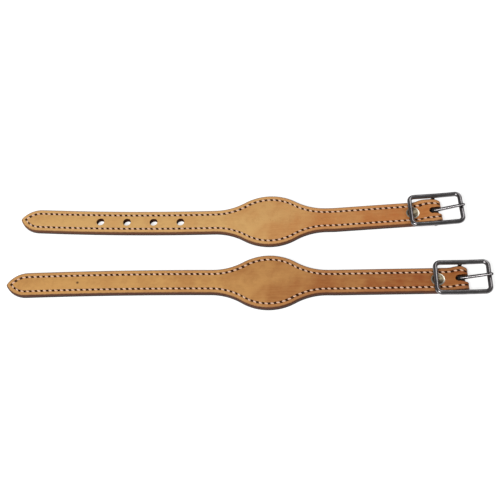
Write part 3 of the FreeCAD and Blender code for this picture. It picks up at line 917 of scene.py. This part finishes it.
def leather_material(name, plain, handled, rim, edge, foot_shadow, handled_from, handled_to,
                     mark=None):
    """Tan leather that turns from plain to handled between two places along the strap.

    The rim and the edge have their own colours. The foot of the edge has a colour too,
    which on the lining's wall is a painted contact shadow under the strap, and mark is
    the place of a prick mark, if there is one.
    """
    material, tree, shader = new_material(name)
    cut = add(tree, "ShaderNodeAttribute", attribute_name="cut")
    from_edge = add(tree, "ShaderNodeAttribute", attribute_name="from_edge")
    vector, depth = cut.outputs["Vector"], from_edge.outputs["Fac"]
    grain = add(tree, "ShaderNodeGroup", node_tree=GRAIN)
    clouds = add(tree, "ShaderNodeGroup", node_tree=CLOUDS)
    for node in (grain, clouds):
        tree.links.new(vector, node.inputs["Vector"])
    split = add(tree, "ShaderNodeSeparateXYZ")
    tree.links.new(vector, split.inputs[0])
    along = remap(tree, split.outputs["X"], handled_from, handled_to)
    patchy = maths(tree, "MULTIPLY", maths(tree, "SUBTRACT", clouds.outputs["Broad"], 0.45), 0.35)
    share = maths(tree, "ADD", along, patchy)
    share.node.use_clamp = True
    colour = mix_colour(tree, share, plain, handled)
    small = maths(tree, "MULTIPLY", clouds.outputs["Small"], 0.20)
    colour = mix_colour(tree, small, colour, shade(handled, 0.72))
    streaks = maths(tree, "MULTIPLY", clouds.outputs["Streaks"], 0.10)
    colour = mix_colour(tree, streaks, colour, shade(plain, 1.25))
    outside = remap(tree, depth, 2.0, 3.0, 0.3, 0.0)
    colour = mix_colour(tree, outside, colour, rim)
    ragged = maths(tree, "ADD", depth, maths(
        tree, "MULTIPLY", noise(tree, vector, 0.9, 3.0), 0.5))
    burnish = remap(tree, ragged, 0.4, 1.3, 1.0, 0.0)
    colour = mix_colour(tree, burnish, colour, edge)
    # Painted contact shadow: on the lining, the burnished wall at the foot of the edge is painted near
    # black.
    low = maths(tree, "MULTIPLY", burnish, remap(
        tree, split.outputs["Z"], LINING_SHIFT - 0.1, LINING_SHIFT + 0.5))
    colour = mix_colour(tree, low, colour, foot_shadow)
    pores = maths(tree, "MULTIPLY", grain.outputs["Pores"], 0.25)
    colour = mix_colour(tree, pores, colour, edge)
    if mark is not None:
        torn = maths(tree, "MULTIPLY", spot_mask(tree, vector, (mark, 0, PLY), 0.3, 1.3), 0.85)
        colour = mix_colour(tree, torn, colour, srgb(58, 34, 22))
    tree.links.new(colour, shader.inputs["Base Color"])
    rough = remap(tree, grain.outputs["Height"], 0.3, 1.1, 0.62, 0.46)
    tree.links.new(rough, shader.inputs["Roughness"])
    shader.inputs["Specular IOR Level"].default_value = 0.2
    add_bump(tree, shader, grain.outputs["Height"], 0.28, 0.25)
    return material


def hole_shade_material():
    """Painted shade inside holes in oiled leather: awl holes, strap holes and the slot."""
    material, tree, shader = new_material("awl_hole_painted_shade")
    cut = add(tree, "ShaderNodeAttribute", attribute_name="cut")
    torn = noise(tree, cut.outputs["Vector"], 3.0, 3.0)
    tree.links.new(mix_colour(tree, torn, srgb(48, 20, 9), srgb(70, 34, 16)),
                   shader.inputs["Base Color"])
    shader.inputs["Roughness"].default_value = 0.85
    shader.inputs["Specular IOR Level"].default_value = 0.1
    return material


# On the linings the foot colour is a painted contact shadow along the bottom of the edge; on the top leather
# it is never used.
TANNED = {
    ("left", "top"): leather_material(
        "golden_tan_leather", plain=srgb(204, 160, 100), handled=srgb(176, 106, 52),
        rim=srgb(208, 158, 104), edge=srgb(96, 54, 27), foot_shadow=srgb(96, 54, 27),
        handled_from=-60.0, handled_to=105.0),
    ("right", "top"): leather_material(
        "russet_tan_leather", plain=srgb(196, 147, 86), handled=srgb(142, 74, 29),
        rim=srgb(190, 138, 90), edge=srgb(78, 40, 20), foot_shadow=srgb(78, 40, 20),
        handled_from=-110.0, handled_to=140.0, mark=STRAPS["right"]["pin_mark"]),
    ("left", "bottom"): leather_material(
        "golden_tan_lining", plain=srgb(192, 145, 88), handled=srgb(166, 104, 56),
        rim=srgb(184, 134, 88), edge=srgb(88, 50, 26), foot_shadow=srgb(32, 17, 9),
        handled_from=-60.0, handled_to=105.0),
    ("right", "bottom"): leather_material(
        "russet_tan_lining", plain=srgb(184, 133, 78), handled=srgb(144, 84, 42),
        rim=srgb(174, 122, 80), edge=srgb(66, 34, 17), foot_shadow=srgb(20, 10, 6),
        handled_from=-110.0, handled_to=140.0),
}
# Second slot of every leather piece: painted shade inside the awl holes, strap holes and slot.
HOLE_SHADE = hole_shade_material()
for name, piece in leather.items():
    piece.data.materials.append(TANNED[tuple(name.split("_")[:2])])
    piece.data.materials.append(HOLE_SHADE)


# %% [markdown]
# ## Thread as a material
# Waxed linen thread is cream with a slight pink cast from the leather's dye. Its strands
# wind round each other, which a slanting wave bump shows at the scale of the stitch, and
# the grooves between the strands are painted darker as shade.

# %% Thread material
def thread_material():
    """Cream waxed thread with slanting strands, painted shade in their grooves and a little soil."""
    material, tree, shader = new_material("waxed_thread")
    where = add(tree, "ShaderNodeTexCoord").outputs["Object"]
    turned = mapped(tree, where, Rotation=(0, 0, 0.6))
    strands = add(tree, "ShaderNodeTexWave", bands_direction="X")
    strands.inputs["Scale"].default_value = 700.0
    strands.inputs["Distortion"].default_value = 1.5
    tree.links.new(turned, strands.inputs["Vector"])
    soil = noise(tree, where, 160.0, 3.0)
    colour = mix_colour(tree, soil, srgb(240, 212, 188), srgb(212, 168, 138))
    # Painted shade: the grooves between strands, the low parts of the bump's wave, are darkened.
    dark = maths(tree, "MULTIPLY", maths(tree, "SUBTRACT", 1.0, strands.outputs["Fac"]), 0.3)
    colour = mix_colour(tree, dark, colour, srgb(150, 104, 76))
    tree.links.new(colour, shader.inputs["Base Color"])
    shader.inputs["Roughness"].default_value = 0.7
    add_bump(tree, shader, strands.outputs["Fac"], 0.5, 0.1)
    return material


THREAD = thread_material()
for piece in thread.values():
    piece.data.materials.append(THREAD)


# %% [markdown]
# ## Metal
# The buckles are wire with a dark nickel finish that has worn brighter where it rubs, and
# the metal round each centre bar, where the leather wraps it, is painted dark as shade.
# The rivets are duller and slightly green, with a painted pale highlight round their rims,
# and their brownish colour is partly the dull metal and partly a painted reflection of
# the leather round them. Both keep the shapes of the frame, which are round and exact,
# and get a material with fine scratches and cloudy tarnish.

# %% Metal materials, with the painted highlight rim of a rivet cap in millimetres
RIM_INNER, RIM_OUTER = 3.2, 4.1


def metal_material(name, bright, dark, rough_low, rough_high, tarnish_scale, bar_shade_reach,
                   rim_highlight):
    """Plated metal with tarnish, scratches, painted shade round the centre bars and a painted highlight
    round rivet rims.
    """
    material, tree, shader = new_material(name)
    where = add(tree, "ShaderNodeTexCoord").outputs["Object"]
    tarnish = remap(tree, noise(tree, where, tarnish_scale, 4.0, 0.6), 0.35, 0.7)
    stretched = mapped(tree, where, Scale=(400.0, 2500.0, 2500.0))
    scratches = noise(tree, stretched, 1.0, 2.0)
    colour = mix_colour(tree, tarnish, bright, dark)
    # Painted shade: the metal round each centre bar, inside the leather fold, is darkened to near black.
    bars = [joints[side + "_frame_swing"]["pos_m"] for side in STRAPS]
    bar_shade = spots_mask(tree, where, bars, 0.4 * bar_shade_reach * MM, bar_shade_reach * MM)
    colour = mix_colour(tree, bar_shade, colour, srgb(34, 28, 26))
    if rim_highlight:
        # Painted highlight: a pale ring on each rivet cap's rim, outside its dome.
        plan = mapped(tree, where, Scale=(1.0, 1.0, 0.0))
        boxes = [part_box(side + "_rivet_cap") for side in STRAPS]
        centres = [((low[0] + high[0]) / 2, (low[1] + high[1]) / 2, 0) for low, high in boxes]
        dome = spots_mask(tree, plan, centres, RIM_INNER * MM, RIM_OUTER * MM)
        painted_rim_highlight = maths(tree, "MULTIPLY", maths(tree, "SUBTRACT", 1.0, dome), rim_highlight)
        colour = mix_colour(tree, painted_rim_highlight, colour, srgb(214, 210, 196))
    tree.links.new(colour, shader.inputs["Base Color"])
    shader.inputs["Metallic"].default_value = 1.0
    rough = remap(tree, tarnish, 0.0, 1.0, rough_low, rough_high)
    rough = maths(tree, "ADD", rough, maths(tree, "MULTIPLY", bar_shade, 0.25))
    rough = maths(tree, "ADD", rough, maths(tree, "MULTIPLY", scratches, 0.03))
    tree.links.new(rough, shader.inputs["Roughness"])
    add_bump(tree, shader, scratches, 0.04, 0.05)
    return material


DARK_NICKEL = metal_material(
    "dark_nickel", bright=srgb(124, 121, 122), dark=srgb(96, 93, 94), rough_low=0.15,
    rough_high=0.21, tarnish_scale=180.0, bar_shade_reach=4.5, rim_highlight=0.0)
# Rivet colours: partly the dull metal's own tone, partly a painted reflection of the brown leather and dark
# surroundings.
DULL_NICKEL_AND_REFLECTION = metal_material(
    "dull_nickel_painted_reflection", bright=srgb(112, 104, 86), dark=srgb(74, 64, 50), rough_low=0.22,
    rough_high=0.34, tarnish_scale=420.0, bar_shade_reach=2.0, rim_highlight=0.8)
for name, node in frame["nodes"].items():
    if "buckle_frame" in name or "buckle_bar" in name or "buckle_tongue" in name:
        metal = DARK_NICKEL
    elif "rivet" in name:
        metal = DULL_NICKEL_AND_REFLECTION
    else:
        continue
    node.data.materials.clear()
    node.data.materials.append(metal)

# %% [markdown]
# ## Floor, light and camera
# The straps lie on a plain white table. A broad lamp from the front left gives the soft
# highlights on the wire, and the world fills the shadows. The floor is shown white to the
# camera and to the metal, and still takes the straps' shadow.

# %% Floor
def floor_material():
    """White table that looks plain to the camera and in gloss, and still takes shadows."""
    material, tree, shader = new_material("white_table")
    path = add(tree, "ShaderNodeLightPath")
    seen = maths(tree, "MAXIMUM", path.outputs["Is Camera Ray"], path.outputs["Is Glossy Ray"])
    seen = maths(tree, "MAXIMUM", seen, path.outputs["Is Transmission Ray"])
    where = add(tree, "ShaderNodeTexCoord").outputs["Object"]
    paper = noise(tree, where, 30.0, 2.0)
    plain = mix_colour(tree, paper, (0.74, 0.74, 0.74, 1), (0.78, 0.78, 0.78, 1))
    tree.links.new(mix_colour(tree, seen, plain, (0.5, 0.5, 0.5, 1)),
                   shader.inputs["Base Color"])
    shader.inputs["Roughness"].default_value = 0.9
    shader.inputs["Specular IOR Level"].default_value = 0.0
    glow = maths(tree, "MULTIPLY", seen, 0.68)
    tree.links.new(glow, shader.inputs["Emission Strength"])
    shader.inputs["Emission Color"].default_value = (1, 1, 1, 1)
    return material


TABLE_HALF_SIZE = 3.0
TABLE_GAP = 0.0002
bm = bmesh.new()
bmesh.ops.create_grid(bm, x_segments=1, y_segments=1, size=TABLE_HALF_SIZE)
floor = finish_mesh(bm, "table")
floor.data.transform(Matrix.Translation((0, 0, cad_box[0][2] - TABLE_GAP)))
floor.data.materials.append(floor_material())

# %% Lights
scene = bpy.context.scene
scene.view_settings.view_transform = "Standard"
world = bpy.data.worlds.new("studio")
scene.world = world
world.use_nodes = True
back = world.node_tree.nodes["Background"]
back.inputs["Color"].default_value = (1.0, 1.0, 1.0, 1.0)
back.inputs["Strength"].default_value = 0.28


def area_lamp(name, place_at, aim, size, power):
    """Square soft lamp that shines at a point."""
    data = bpy.data.lights.new(name, "AREA")
    data.size = size
    data.energy = power
    lamp = bpy.data.objects.new(name, data)
    scene.collection.objects.link(lamp)
    lamp.location = place_at
    lamp.rotation_euler = (Vector(aim) - Vector(place_at)).to_track_quat("-Z", "Y").to_euler()


area_lamp("key", (-0.45, -0.8, 1.15), (0, 0, 0), 0.6, 17.5)
area_lamp("fill", (0.7, 0.8, 1.0), (0, 0, 0), 0.8, 5.5)

# %% Camera
AZIMUTH, ELEVATION, ROLL = math.radians(9.7), math.radians(60.0), math.radians(-9.3)
TARGET = Vector((3.768, 0.14, 4.0)) * MM
DISTANCE = 554.8 * MM
LENS = 61.4
forward = Vector((-math.sin(AZIMUTH) * math.cos(ELEVATION),
                  math.cos(AZIMUTH) * math.cos(ELEVATION), -math.sin(ELEVATION)))
level = Vector((math.cos(AZIMUTH), math.sin(AZIMUTH), 0))
upright = level.cross(forward)
right = level * math.cos(ROLL) + upright * math.sin(ROLL)
up = upright * math.cos(ROLL) - level * math.sin(ROLL)
camera = bpy.data.objects.new("camera", bpy.data.cameras.new("camera"))
scene.collection.objects.link(camera)
camera.data.lens = LENS
turned = Matrix((right, up, -forward)).transposed().to_4x4()
turned.translation = TARGET - forward * DISTANCE
camera.matrix_world = turned
scene.camera = camera

# %% Size of the frame
print("cad", cad_box)
